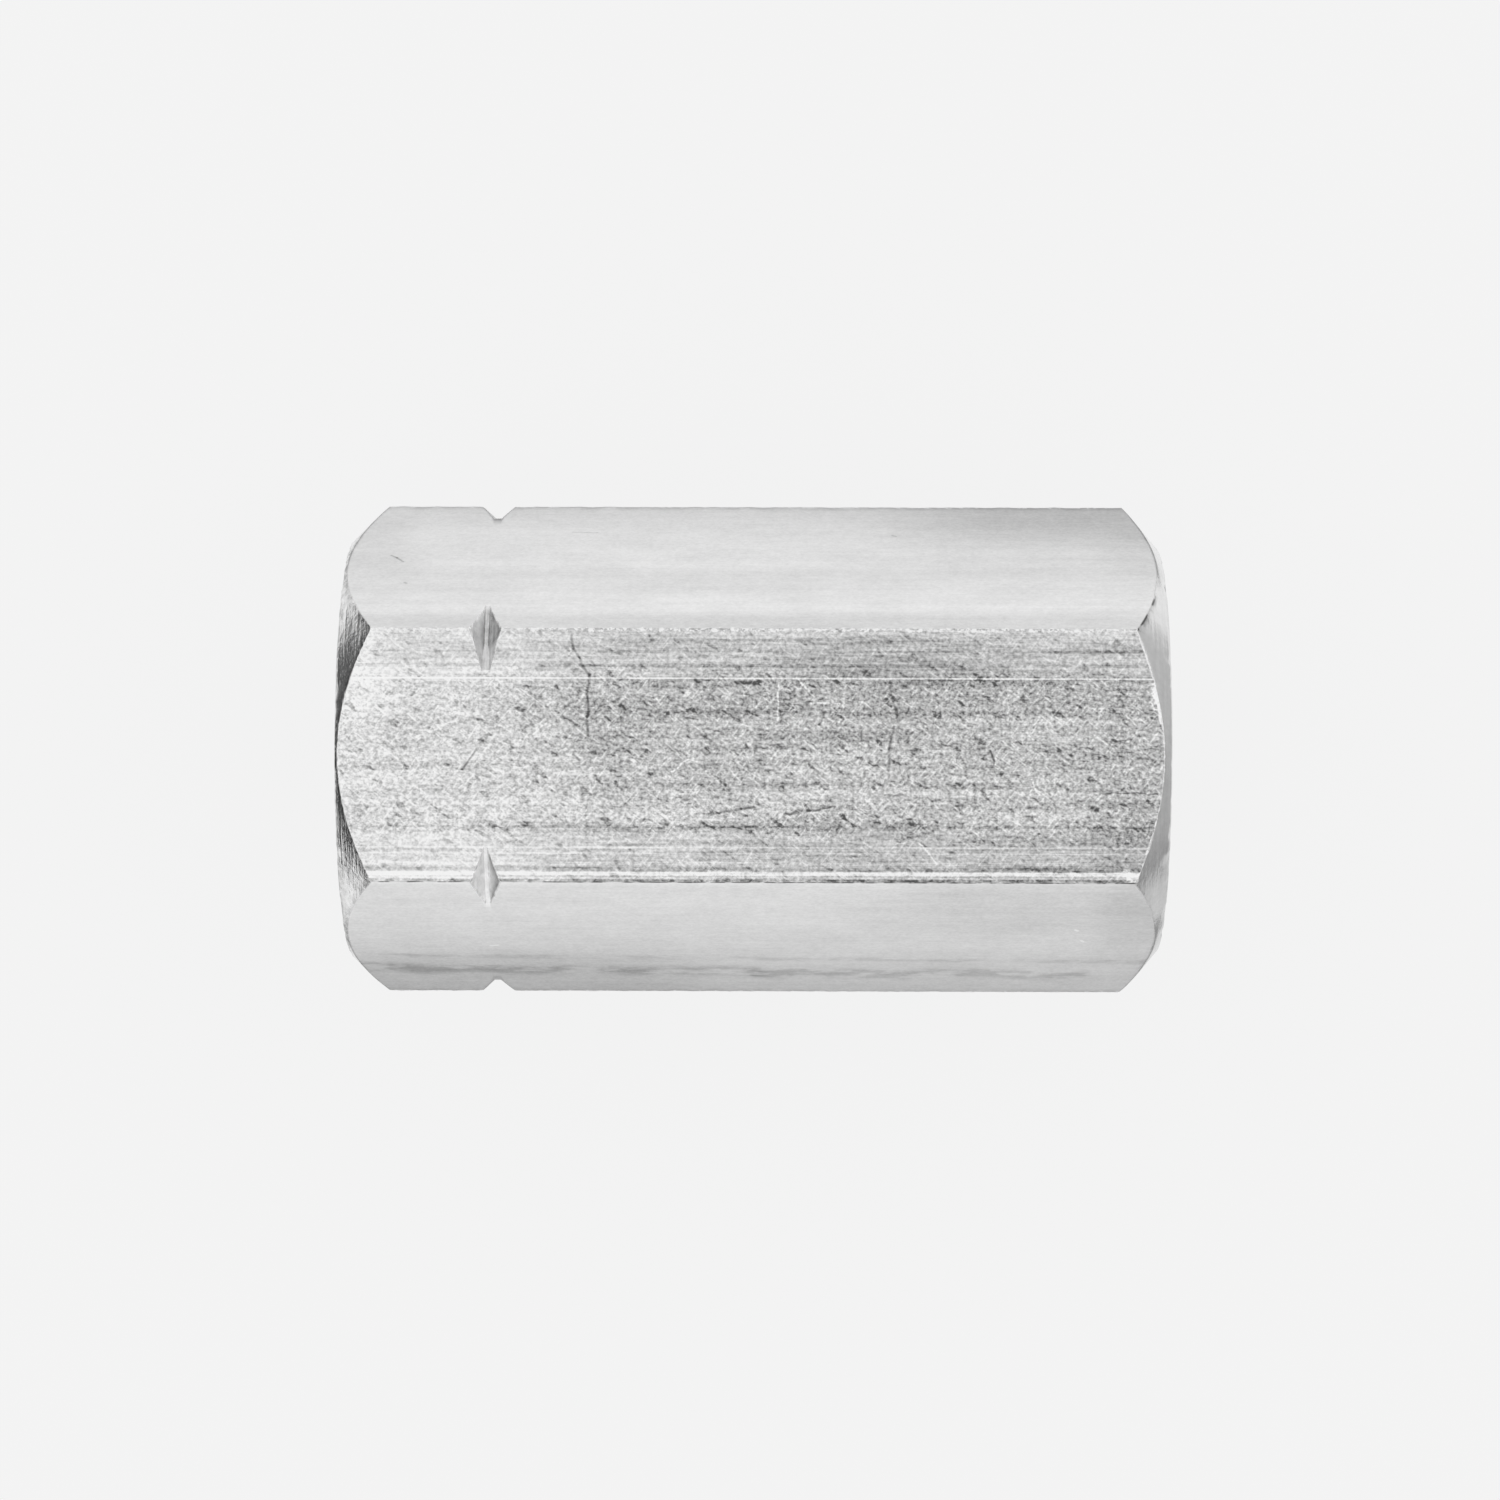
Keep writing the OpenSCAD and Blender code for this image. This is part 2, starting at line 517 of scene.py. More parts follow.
def add_outside(parts):
    """The flats, the end cones and the groove. Returns the loops at the two end faces."""
    columns = bar_columns()
    grid = [add_column(parts, column) for column in columns]
    for c, column in enumerate(columns):
        n = (c + 1) % len(columns)
        following = columns[n]
        next_angle = following.angle + (math.tau if n == 0 else 0.0)
        next_u = following.u if following.flat == column.flat else HALF_FLAT * 1.02
        middle_r = (column.bar_r + following.bar_r) / 2
        for r in range(len(grid[0]) - 1):
            (a, xa), (b, xb) = grid[c][r], grid[c][r + 1]
            (d, xd), (e, xe) = grid[n][r], grid[n][r + 1]
            middle_x = (xa + xb + xd + xe) / 4
            middle_angle = (column.angle + next_angle) / 2
            if outer_radius(middle_x, middle_angle, middle_r)[0] < middle_r - CUT_DEPTH:
                v, next_v = column.angle * TURNED_UV, next_angle * TURNED_UV
                slot, wear = TURNED, 0.0
            else:
                v, next_v = column.u + FLAT_UV * column.flat, next_u + FLAT_UV * column.flat
                wear = FLAT_WEAR[column.flat]
                slot = RUBBED if wear > 0 else DRAWN
            parts.add_face((a, b, e, d), slot, [(xa, v), (xb, v), (xe, next_v), (xd, next_v)], wear)
    return [add_face_rings(parts, columns, grid, end) for end in (0, -1)]


def add_face_rings(parts, columns, grid, end):
    """Two rings of an end face, inside its chipped rim: the second keeps the face flat. Returns its loop."""
    x = grid[0][end][1]
    radius = (GROOVED_FACE_R if x < 0 else PLAIN_FACE_R) - RIM_BEVEL
    outer = [made[end][0] for made in grid]
    for _ in range(FACE_RINGS):
        inner = [parts.add_point(x, column.angle, radius - RIM_BAND) for column in columns]
        for c, column in enumerate(columns):
            n = (c + 1) % len(columns)
            v = column.angle * TURNED_UV
            next_v = (columns[n].angle + (math.tau if n == 0 else 0.0)) * TURNED_UV
            corners = [outer[c], outer[n], inner[n], inner[c]]
            uvs = [(radius, v), (radius, next_v), (radius - RIM_BAND, next_v), (radius - RIM_BAND, v)]
            if x > 0:
                corners.reverse()
                uvs.reverse()
            parts.add_face(tuple(corners), TURNED, uvs)
        outer = inner
        radius -= RIM_BAND
    return [(index, column.angle) for index, column in zip(outer, columns)]


def add_thread(parts, side):
    """One threaded half of the bore, from the plain middle to the mouth at side * HALF_LENGTH."""
    hand = side
    lift = PITCH / THREAD_ROWS_PER_TURN
    low = THREAD_GAP
    rows = int((HALF_LENGTH - low) / lift) + THREAD_ROWS_PER_TURN + 2
    made = {}

    def vertex(row, column):
        angle = math.tau * column / THREAD_COLUMNS
        x = low + (row - THREAD_ROWS_PER_TURN) * lift + PITCH * column / THREAD_COLUMNS
        x = clamp(x, low, HALF_LENGTH) * side
        key = (round(x, 4), column % THREAD_COLUMNS)
        if key not in made:
            made[key] = parts.add_point(x, angle, thread_radius(x, angle, hand))
        return made[key], x, angle

    for row in range(rows):
        for column in range(THREAD_COLUMNS):
            corners = [
                vertex(row, column),
                vertex(row, column + 1),
                vertex(row + 1, column + 1),
                vertex(row + 1, column),
            ]
            loop = [corners[0]]
            for corner in corners[1:]:
                if corner[0] != loop[-1][0]:
                    loop.append(corner)
            if loop[0][0] == loop[-1][0]:
                loop.pop()
            if len(loop) < 3:
                continue
            if side < 0:
                loop.reverse()
            uvs = [(x, angle * BORE_R) for index, x, angle in loop]
            parts.add_face(tuple(index for index, x, angle in loop), THREADED, uvs)
    def ring(x):
        columns = range(THREAD_COLUMNS)
        return [(made[(round(x * side, 4), c)], math.tau * c / THREAD_COLUMNS) for c in columns]

    return ring(low), ring(HALF_LENGTH)


def zip_loops(parts, inner, outer, slot, flip):
    """Triangles between two loops around the axis that have different numbers of points."""
    inner = inner + [(inner[0][0], inner[0][1] + math.tau)]
    outer = outer + [(outer[0][0], outer[0][1] + math.tau)]
    i = o = 0
    while i < len(inner) - 1 or o < len(outer) - 1:
        step_inner = o == len(outer) - 1 or (i < len(inner) - 1 and inner[i + 1][1] <= outer[o + 1][1])
        if step_inner:
            corners = [inner[i], inner[i + 1], outer[o]]
            i += 1
        else:
            corners = [inner[i], outer[o + 1], outer[o]]
            o += 1
        if flip:
            corners.reverse()
        uvs = []
        for index, angle in corners:
            p = parts.points[index]
            uvs.append((math.hypot(p[1], p[2]), angle * TURNED_UV))
        parts.add_face(tuple(index for index, angle in corners), slot, uvs)


def build_nut():
    parts = MeshParts()
    low_loop, high_loop = add_outside(parts)
    start = low_loop[0][1]
    plain_middle, plain_mouth = add_thread(parts, 1)
    grooved_middle, grooved_mouth = add_thread(parts, -1)
    zip_loops(parts, plain_middle, grooved_middle, THREADED, True)
    zip_loops(parts, aligned(plain_mouth, start), high_loop, TURNED, False)
    zip_loops(parts, aligned(grooved_mouth, start), low_loop, TURNED, True)
    mesh = bpy.data.meshes.new("coupling_nut_finished")
    mesh.from_pydata([Vector(p) * MM for p in parts.points], [], parts.faces)
    layer = mesh.uv_layers.new(name="surface_mm")
    loops = [uv for face in parts.uvs for uv in face]
    for item, uv in zip(layer.data, loops):
        item.uv = uv
    for polygon, slot in zip(mesh.polygons, parts.slots):
        polygon.material_index = slot
        polygon.use_smooth = True
    for name, values in parts.marks.items():
        mesh.attributes.new(name, "FLOAT", "POINT").data.foreach_set("value", values)
    mesh.attributes.new("wear", "FLOAT", "FACE").data.foreach_set("value", parts.wear)
    mesh.set_sharp_from_angle(angle=math.radians(SHARP_ANGLE))
    mesh.update()
    nut = bpy.data.objects.new("nut_body", mesh)
    bpy.context.scene.collection.objects.link(nut)
    return nut


def aligned(loop, start):
    """The same loop, turned so that its first angle is the first at or after start."""
    shifted = [(index, angle if angle >= start else angle + math.tau) for index, angle in loop]
    shifted = [(index, angle - math.tau if angle - math.tau >= start else angle) for index, angle in shifted]
    return sorted(shifted, key=lambda pair: pair[1])


class Graph:
    """Short calls for building one material's nodes."""

    def __init__(self, name):
        self.material = bpy.data.materials.new(name)
        self.material.use_nodes = True
        self.tree = self.material.node_tree
        self.shader = self.tree.nodes["Principled BSDF"]

    def put(self, socket, value):
        """Links a node's output to a socket, or sets a number or a vector on it."""
        if isinstance(value, bpy.types.NodeSocket):
            self.tree.links.new(value, socket)
        else:
            socket.default_value = value

    def math(self, operation, a, b=0.0, c=0.0, limit=False):
        node = self.tree.nodes.new("ShaderNodeMath")
        node.operation = operation
        node.use_clamp = limit
        for socket, value in zip(node.inputs, (a, b, c)):
            self.put(socket, value)
        return node.outputs[0]

    def ranged(self, kind, *values):
        node = self.tree.nodes.new("ShaderNodeMapRange")
        node.clamp = True
        node.interpolation_type = kind
        for socket, item in zip(node.inputs, values):
            self.put(socket, item)
        return node.outputs[0]

    def between(self, value, low, high, start=0.0, end=1.0):
        """start where value is at low, end where it is at high, smooth between them."""
        return self.ranged("SMOOTHSTEP", value, low, high, start, end)

    def between_straight(self, value, low, high, start, end):
        """As between, but straight."""
        return self.ranged("LINEAR", value, low, high, start, end)

    def surface(self):
        """The surface's own coordinates in millimetres, as a vector."""
        node = self.tree.nodes.new("ShaderNodeUVMap")
        node.uv_map = "surface_mm"
        return node.outputs[0]

    def attribute(self, name):
        node = self.tree.nodes.new("ShaderNodeAttribute")
        node.attribute_name = name
        return node.outputs["Fac"]

    def along(self, place):
        """The place along the bar."""
        node = self.tree.nodes.new("ShaderNodeSeparateXYZ")
        self.put(node.inputs[0], place)
        return node.outputs[0]

    def vector(self, operation, a, b):
        node = self.tree.nodes.new("ShaderNodeVectorMath")
        node.operation = operation
        self.put(node.inputs[0], a)
        self.put(node.inputs[1], b)
        return node

    def across(self, place):
        """The place across its flat."""
        node = self.tree.nodes.new("ShaderNodeSeparateXYZ")
        self.put(node.inputs[0], place)
        return self.math("WRAP", node.outputs[1], FLAT_UV / 2, -FLAT_UV / 2)

    def shifted_across(self, place, amount):
        """The coordinates moved across the bar by amount."""
        node = self.tree.nodes.new("ShaderNodeCombineXYZ")
        self.put(node.inputs["Y"], amount)
        return self.vector("ADD", place, node.outputs[0]).outputs[0]

    def wavered(self, place, scale, reach):
        """The coordinates moved about a little by a noise."""
        node = self.tree.nodes.new("ShaderNodeTexNoise")
        node.noise_dimensions = "2D"
        node.inputs["Scale"].default_value = scale
        self.put(node.inputs["Vector"], place)
        moved = self.vector("SUBTRACT", node.outputs["Color"], (0.5, 0.5, 0.5)).outputs[0]
        moved = self.vector("MULTIPLY", moved, (reach, reach, 0.0)).outputs[0]
        return self.vector("ADD", place, moved).outputs[0]

    def distance_to_line(self, place, start, end, lift):
        """Distance from the line between two points on a flat, in millimetres."""
        begin = Vector((start[0], start[1] + lift, 0.0))
        run = Vector((end[0], end[1] + lift, 0.0)) - begin
        offset = self.vector("SUBTRACT", place, begin).outputs[0]
        share = self.vector("DOT_PRODUCT", offset, run / run.length_squared).outputs["Value"]
        share = self.between_straight(share, 0.0, 1.0, 0.0, 1.0)
        scaled = self.tree.nodes.new("ShaderNodeVectorMath")
        scaled.operation = "SCALE"
        scaled.inputs[0].default_value = run
        self.put(scaled.inputs["Scale"], share)
        return self.vector("DISTANCE", offset, scaled.outputs[0]).outputs["Value"]

    def stretch(self, vector, scale, turn=0.0, shift=0.0):
        """The coordinates turned in their plane, then scaled along each axis."""
        turned = self.tree.nodes.new("ShaderNodeMapping")
        turned.inputs["Rotation"].default_value = (0, 0, math.radians(turn))
        turned.inputs["Location"].default_value = (shift, shift * 0.7, shift * 1.3)
        self.put(turned.inputs["Vector"], vector)
        scaled = self.tree.nodes.new("ShaderNodeVectorMath")
        scaled.operation = "MULTIPLY"
        scaled.inputs[1].default_value = scale
        self.put(scaled.inputs[0], turned.outputs[0])
        return scaled.outputs[0]

    def noise(self, vector, scale, detail=2.0, roughness=0.5, distortion=0.0):
        node = self.tree.nodes.new("ShaderNodeTexNoise")
        node.noise_dimensions = "2D"
        node.inputs["Scale"].default_value = scale
        node.inputs["Detail"].default_value = detail
        node.inputs["Roughness"].default_value = roughness
        node.inputs["Distortion"].default_value = distortion
        self.put(node.inputs["Vector"], vector)
        return node.outputs["Fac"]

    def grey(self, value):
        node = self.tree.nodes.new("ShaderNodeCombineColor")
        for socket in node.inputs[:3]:
            self.put(socket, value)
        return node.outputs[0]

    def bump(self, height, distance, strength=1.0):
        """Height is in units of distance, which is in metres."""
        node = self.tree.nodes.new("ShaderNodeBump")
        node.inputs["Strength"].default_value = strength
        node.inputs["Distance"].default_value = distance
        self.put(node.inputs["Height"], height)
        return node.outputs[0]

    def finish(self, tone, roughness, normal):
        self.shader.inputs["Metallic"].default_value = 1
        self.put(self.shader.inputs["Base Color"], self.grey(tone))
        self.put(self.shader.inputs["Roughness"], roughness)
        self.put(self.shader.inputs["Normal"], normal)
        return self.material


# Damage on the upper flat, as lines through points: (millimetres along the bar, across the flat).
# Each has its half width and its change of tone
DEEP_CRACKS = (
    (0.11, -0.34, ((-7.78, 5.16), (-7.74, 4.58), (-7.50, 4.17), (-7.04, 3.51), (-7.12, 2.85), (-7.12, 0.79))),
    (0.10, -0.24, ((5.85, 2.77), (6.14, 1.77), (5.80, 0.30), (5.80, -0.95))),
    (0.08, -0.42, ((-1.53, -2.45), (-0.54, -2.33), (0.03, -2.19))),
    (0.08, -0.42, ((1.35, -2.48), (2.43, -2.31), (3.50, -2.17))),
    (0.08, -0.40, ((-12.49, -0.62), (-11.95, 0.12))),
    (0.06, -0.30, ((-10.70, 0.58), (-10.34, 0.50))),
    (0.08, -0.42, ((10.17, 0.29), (10.29, -0.29))),
    (0.14, -0.45, ((-0.71, 3.14), (0.20, 3.14))),
    (0.14, -0.45, ((14.50, -2.20), (14.75, -2.32))),
    (0.09, -0.32, ((5.65, -1.69), (6.55, -1.57))),
    (0.06, -0.32, ((14.99, -1.55), (17.30, -1.58))),
    (0.06, -0.30, ((15.15, 0.68), (16.15, 0.76))),
    (0.12, -0.34, ((10.90, -1.05), (11.10, -1.12))),
)
BRIGHT_SCRATCHES_AND_GLINTS = (
    (0.07, 0.36, ((1.06, 3.10), (1.03, 1.45))),
    (0.06, 0.34, ((1.85, 3.34), (2.43, 2.80))),
    (0.06, 0.34, ((2.47, 2.27), (3.66, 2.27), (3.87, 2.07))),
    (0.07, 0.34, ((-4.25, 2.56), (-3.97, 2.19))),
    (0.06, 0.34, ((-3.51, -0.70), (-2.77, -0.12))),
    (0.06, 0.34, ((7.20, -3.76), (7.90, -4.58))),
    (0.06, 0.30, ((11.94, -0.99), (12.10, -1.53))),
    (0.06, 0.24, ((-9.48, 0.94), (-8.82, 1.44))),
    (0.06, 0.24, ((-9.38, 0.78), (-8.72, 1.28))),
    (0.07, 0.16, ((-14.67, 0.70), (-12.28, 1.69))),
    # The last four are the white glints of burrs along the right crease and at the lower near corner, painted
    # as tone: painted highlights
    (0.27, 0.75, ((17.20, 3.05), (17.28, 2.65), (17.36, 2.30))),
    (0.10, 0.60, ((17.36, 2.30), (17.50, 1.50))),
    (0.06, 0.40, ((17.05, 2.25), (17.20, 2.00), (17.38, 2.05))),
    (0.34, 0.42, ((16.05, -5.00), (16.35, -5.35))),
)
# Small marks on the two smooth side flats
UPPER_SIDE_FLAT = 1
UPPER_SIDE_MARKS = (
    (0.08, -0.30, ((-16.00, 0.90), (-15.75, 0.70), (-15.45, 0.35))),
    (0.10, -0.25, ((-15.25, -1.50), (-15.18, -1.56))),
    (0.07, -0.16, ((-8.10, 3.05), (-7.00, 3.00))),
    (0.09, -0.22, ((6.10, 2.80), (6.25, 2.72))),
)
SIDE_MARKS = (
    (0.10, 0.35, ((14.10, 0.95), (14.18, 0.88))),
    (0.10, 0.30, ((14.40, -0.10), (14.48, -0.20))),
    (0.08, 0.25, ((-11.60, -0.75), (-11.30, -0.70))),
)
# Folds in the drawn skin of one side flat, each with how far it wanders
SIDE_FOLDS = (
    (0.30, -0.13, 0.30, ((-17.5, -1.75), (17.5, -2.25))),
    (0.75, -0.22, 0.90, ((-17.5, -2.95), (0.0, -3.45), (14.5, -3.55))),
)


def add_all(g, values):
    """The sum of several node outputs."""
    total = values[0]
    for value in values[1:]:
        total = g.math("ADD", total, value)
    return total


def line_marks(g, place, marks, flat=0):
    """Tone changes of the listed lines, which are full at the middle and gone at the half width."""
    total = 0.0
    for half, tone, points in marks:
        for start, end in zip(points, points[1:]):
            away = g.distance_to_line(place, start, end, FLAT_UV * flat)
            total = g.math("ADD", g.between(away, 0.15 * half, half, tone, 0.0), total)
    return total


def scratches(g, place, turn, along, across, threshold, shift):
    """Sparse thin lines in one direction. along and across are in lines per millimetre."""
    lines = g.noise(g.stretch(place, (along, across, 1), turn, shift), 1.0, 1.0, 0.6)
    return g.between(lines, threshold, threshold + 0.06)


def curls(g, place, scale, shift):
    """Thin curling strokes: the level lines of a noise, broken up by another."""
    field = g.noise(g.stretch(place, (1, 1.2, 1), 0, shift), scale, 1.0, 0.5)
    line = g.between(g.math("ABSOLUTE", g.math("SUBTRACT", field, 0.5)), 0.0, 0.018 * scale, 1.0, 0.0)
    chosen = g.noise(g.stretch(place, (1, 1, 1), 0, shift + 5), 1.5 * scale, 0.0)
    return g.math("MULTIPLY", line, g.between(chosen, 0.50, 0.60))


def around_zero(g, value, size):
    """A noise moved from about 0.5 to about zero, and scaled."""
    return g.math("MULTIPLY", g.math("SUBTRACT", value, 0.5), size)


def worn_edge_and_highlight(g, place):
    """Where the corners and creases are bright, in ragged patches: partly rubbed wear, partly painted
    highlight.
    """
    edge = g.attribute("edge")
    patches = g.noise(g.stretch(place, (1, 1, 1), 0, 91), 3.6, 2.0, 0.65)
    patches = g.math("ADD", patches, g.math("MULTIPLY", g.math("SUBTRACT", edge, 1.0), 0.25))
    return g.math("MULTIPLY", g.math("MULTIPLY", edge, 4.0, limit=True), g.between(patches, 0.36, 0.52))


def marks_and_painted_shade(g, place, scale):
    """The tone marks per point, which hold die lines, stains and painted shade, and those that come and go
    along the surface.
    """
    gaps = g.noise(g.stretch(place, scale, 0, 19), 1.0, 2.0, 0.6)
    breaks = g.between(gaps, 0.36, 0.58, 0.30, 1.15)
    return g.math("ADD", g.attribute("tone_marks_and_shade"), g.math("MULTIPLY", g.attribute("broken_marks_and_shade"), breaks))


def limited(g, tone, edge):
    """The tone with its bright edges, kept within what steel can be."""
    tone = g.math("MAXIMUM", tone, g.math("MULTIPLY", edge, EDGE_TONE))
    return g.between_straight(tone, DARKEST, 1.0, DARKEST, 1.0)


def dulled(g, roughness, edge):
    """The roughness, raised on worn edges and torn places."""
    dull = g.math("MAXIMUM", g.attribute("dull"), g.math("MULTIPLY", edge, 0.7))
    return g.between_straight(dull, 0.0, 1.0, roughness, DULL_ROUGHNESS)


def drawn_steel():
    """Cold drawn bar: smooth flats with faint lines along them, and folds in the skin of one."""
    g = Graph("drawn_steel")
    place = g.surface()
    grain = g.noise(g.stretch(place, (0.25, 6.0, 1), 0, 13), 1.0, 2.0, 0.6)
    drawn = g.noise(g.stretch(place, (0.035, 1.3, 1), 0, 29), 1.0, 3.0, 0.6)
    mottle = g.noise(g.stretch(place, (0.30, 0.60, 1), 0, 37), 1.0, 3.0, 0.6)
    cloud = g.noise(g.stretch(place, (2.0, 3.0, 1), 0, 53), 1.0, 3.0, 0.7)
    fine = g.noise(g.stretch(place, (6.0, 8.0, 1), 0, 7), 1.0, 1.0, 0.6)
    tone = add_all(g, [
        around_zero(g, fine, 0.14),
        around_zero(g, grain, 0.07),
        around_zero(g, drawn, 0.10),
        around_zero(g, mottle, 0.14),
        around_zero(g, cloud, 0.16),
        marks_and_painted_shade(g, place, (1.5, 0.6, 1)),
    ])
    patches = g.between(g.noise(g.stretch(place, (0.40, 1.5, 1), 0, 71), 1.0, 3.0, 0.6), 0.34, 0.62, 0.0, 1.1)
    for half, change, reach, points in SIDE_FOLDS:
        wander = g.noise(g.stretch(place, (0.25, 0, 1), 0, 40 * reach), 1.0, 2.0)
        bent = g.shifted_across(place, around_zero(g, wander, reach))
        fold = line_marks(g, bent, ((half, change, points),), SIDE_FLAT)
        tone = g.math("ADD", tone, g.math("MULTIPLY", fold, patches))
    tone = g.math("ADD", tone, line_marks(g, place, UPPER_SIDE_MARKS, UPPER_SIDE_FLAT))
    tone = g.math("ADD", tone, line_marks(g, place, SIDE_MARKS, SIDE_FLAT))
    edge = worn_edge_and_highlight(g, place)
    tone = limited(g, g.math("ADD", tone, STEEL_TONE), edge)
    height = g.math("ADD", g.math("MULTIPLY", grain, 0.3), g.math("MULTIPLY", cloud, 0.7))
    return g.finish(tone, dulled(g, DRAWN_ROUGHNESS, edge), g.bump(height, 0.003 * MM))


def rubbed_steel():
    """The same bar where it is rubbed, pitted and scratched all over, which dulls it."""
    g = Graph("rubbed_steel")
    place = g.surface()
    bent = g.wavered(place, 1.7, 0.22)
    # The cracks and bright scratches, with the painted highlights of the burrs
    damage_and_glints = g.math("ADD", line_marks(g, bent, DEEP_CRACKS), line_marks(g, bent, BRIGHT_SCRATCHES_AND_GLINTS))
    wear = g.attribute("wear")

    wander = g.noise(g.stretch(place, (0.5, 0.5, 1), 0, 3), 1.0, 2.0)
    ragged = g.math("ADD", around_zero(g, wander, 3.5), around_zero(g, g.noise(place, 1.7, 2.0, 0.6), 4.0))
    fresh = g.between(g.math("ADD", g.along(place), ragged), -13.0, -5.0, 1.0, 0.0)
    rubbed = g.math("MULTIPLY", wear, g.between_straight(fresh, 0.0, 1.0, 1.0, 0.92))
    striped = g.math("MULTIPLY", wear, g.between_straight(fresh, 0.0, 1.0, 0.85, 0.60))
    off_middle = g.math("ADD", g.math("ABSOLUTE", g.across(place)), around_zero(g, wander, 2.0))
    lined = g.between(off_middle, 2.9, 3.9)
    pebbled = g.math("MULTIPLY", rubbed, g.math("SUBTRACT", 1.0, g.math("MULTIPLY", lined, 0.35)))

    speckle = g.noise(g.stretch(place, (0.85, 1.1, 1)), 6.5, 2.0, 0.65)
    flakes = g.noise(g.stretch(place, (0.6, 1.3, 1), 0, 31), 2.2, 2.0, 0.55)
    height = g.math("ADD", g.math("MULTIPLY", speckle, 1.3), g.math("MULTIPLY", flakes, 1.1))
    height = g.math("MULTIPLY", height, pebbled)

    bands = g.noise(g.stretch(place, (0.05, 1.6, 1), 0, 61), 1.0, 3.0, 0.6)
    patches = g.noise(g.stretch(place, (0.12, 0.30, 1), 0, 47), 1.0, 2.0)
    grain = g.noise(g.stretch(place, (0.30, 8.0, 1), 0, 13), 1.0, 2.0, 0.6)
    pits = g.between(g.noise(g.stretch(place, (1.1, 0.5, 1), -60, 57), 2.8, 1.0), 0.66, 0.74)
    rising = scratches(g, place, 38, 0.9, 8, 0.66, 11)
    falling = scratches(g, place, -52, 1.0, 8, 0.66, 23)
    bright = g.math("MAXIMUM", g.math("MAXIMUM", rising, falling), curls(g, place, 1.2, 41))
    dark = g.math("MAXIMUM", scratches(g, place, 8, 0.6, 7, 0.64, 67), curls(g, place, 1.5, 83))
    pebbles = add_all(g, [
        around_zero(g, speckle, 1.28),
        around_zero(g, flakes, 0.35),
        g.math("MULTIPLY", bright, 0.21),
        g.math("MULTIPLY", pits, -0.31),
        g.math("MULTIPLY", dark, -0.11),
    ])
    stripes = g.math("MULTIPLY", around_zero(g, grain, 0.57), g.between(lined, 0.0, 1.0, 0.45, 1.0))
    stripes = g.math("ADD", stripes, around_zero(g, bands, 0.67))
    tone = add_all(g, [
        g.math("MULTIPLY", pebbles, pebbled),
        g.math("MULTIPLY", g.math("MULTIPLY", lined, wear), 0.035),
        g.math("MULTIPLY", stripes, striped),
        g.math("MULTIPLY", around_zero(g, patches, 0.22), striped),
        g.math("MULTIPLY", wear, NEAR_TONE - STEEL_TONE),
        g.math("MULTIPLY", g.math("MULTIPLY", fresh, wear), FRESH_GAIN),
        marks_and_painted_shade(g, place, (1.5, 0.6, 1)),
        g.math("MULTIPLY", damage_and_glints, g.between(speckle, 0.3, 0.6, 0.6, 1.1)),
    ])
    edge = worn_edge_and_highlight(g, place)
    tone = limited(g, g.math("ADD", tone, STEEL_TONE), edge)
    return g.finish(tone, dulled(g, RUBBED_ROUGHNESS, edge), g.bump(height, 0.045 * MM))


def turned_steel():
    """The lathe's marks run round the bar."""
    g = Graph("turned_steel")
    place = g.surface()
    fine = g.noise(g.stretch(place, (7.0, 0.22, 1)), 1.0, 3.0, 0.65)
    coarse = g.noise(g.stretch(place, (2.2, 0.16, 1), 0, 17), 1.0, 2.0, 0.5)
    torn = g.noise(g.stretch(place, (4.0, 2.2, 1), 0, 43), 1.0, 3.0, 0.65)
    marks = add_all(g, [
        around_zero(g, fine, 0.38),
        around_zero(g, coarse, 0.22),
        around_zero(g, torn, 0.50),
    ])
    deep = g.between(g.along(place), 0.0, 1.0, 1.0, 0.30)
    tone = g.math("ADD", g.math("MULTIPLY", marks, deep), marks_and_painted_shade(g, place, (3.5, 2.0, 1)))
    edge = worn_edge_and_highlight(g, place)
    tone = limited(g, g.math("ADD", tone, TURNED_TONE), edge)
    height = g.math("MULTIPLY", g.math("ADD", fine, torn), deep)
    return g.finish(tone, dulled(g, TURNED_ROUGHNESS, edge), g.bump(height, 0.02 * MM))


def thread_steel():
    """The tap's flanks: finer lines along the helix, a little duller."""
    g = Graph("thread_steel")
    place = g.surface()
    fine = g.noise(g.stretch(place, (8.0, 0.25, 1)), 1.0, 2.0, 0.6)
    tone = g.math("ADD", around_zero(g, fine, 0.3), THREAD_TONE, limit=True)
    return g.finish(tone, THREAD_ROUGHNESS, g.bump(fine, 0.01 * MM))


# Camera, from a fit of the bar's edges, its cones and its groove to the reference view
CAMERA_DISTANCE = 205.5 * MM
CAMERA_YAW = math.radians(-0.466)
CAMERA_TILT = math.radians(1.689)
CAMERA_ROLL = math.radians(-0.122)
CAMERA_ASIDE = 0.220 * MM
CAMERA_UP = 0.017 * MM
CAMERA_LENS = 109.72


def make_camera():
    """Looks down on the nut. X runs to the right of the picture and Y up it."""
    turn = (
        Matrix.Rotation(CAMERA_ROLL, 3, "Z")
        @ Matrix.Rotation(CAMERA_TILT, 3, "X")
        @ Matrix.Rotation(CAMERA_YAW, 3, "Y")
    ).transposed()
    data = bpy.data.cameras.new("camera")
    data.lens = CAMERA_LENS
    data.sensor_width = 36
    data.clip_start = 0.01
    data.clip_end = 10
    camera = bpy.data.objects.new("camera", data)
    place = turn @ Vector((-CAMERA_ASIDE, -CAMERA_UP, CAMERA_DISTANCE))
    camera.matrix_world = Matrix.Translation(place) @ turn.to_4x4()
    bpy.context.scene.collection.objects.link(camera)
    bpy.context.scene.camera = camera


